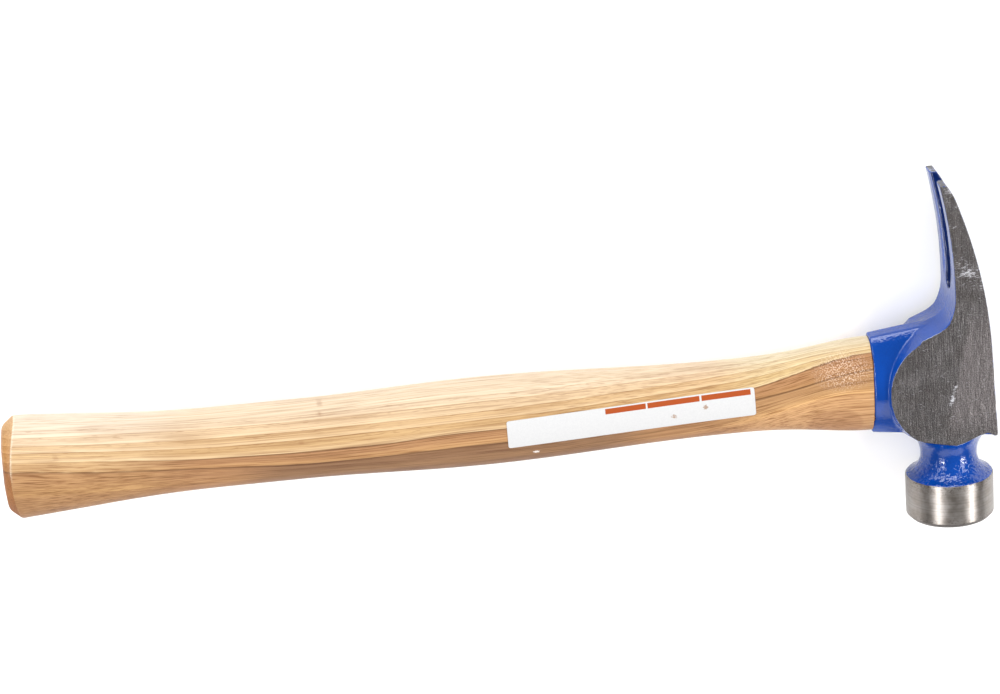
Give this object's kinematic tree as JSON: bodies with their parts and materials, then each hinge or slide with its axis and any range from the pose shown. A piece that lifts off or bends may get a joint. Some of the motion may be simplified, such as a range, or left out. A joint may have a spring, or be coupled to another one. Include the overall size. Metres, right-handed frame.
{
  "type": "framing hammer",
  "caption": "Framing hammer: forged head with a round crowned face, necked poll, oval socket and straight rip claw with a bevelled nail slot, wedged onto a long oval hickory handle.",
  "frame": {"origin": "on the surface that the hammer lies on, under the middle of its bounding box", "axes": "+X along the handle from the butt to the top of the head, +Y from the striking face to the claw, +Z square to the upper cheek"},
  "size_m": [0.407, 0.149, 0.0365],
  "materials": {
    "head_enamel": "gloss",
    "handle_wood": "satin",
    "wedge_wood": "matte",
    "wedge_steel": "satin",
    "label_paper": "satin"
  },
  "bodies": {
    "root": {"head": "head_enamel", "handle": "handle_wood", "wooden_wedge": "wedge_wood", "steel_wedge_claw_side": "wedge_steel", "steel_wedge_face_side": "wedge_steel", "label": "label_paper"}
  },
  "joints": []
}
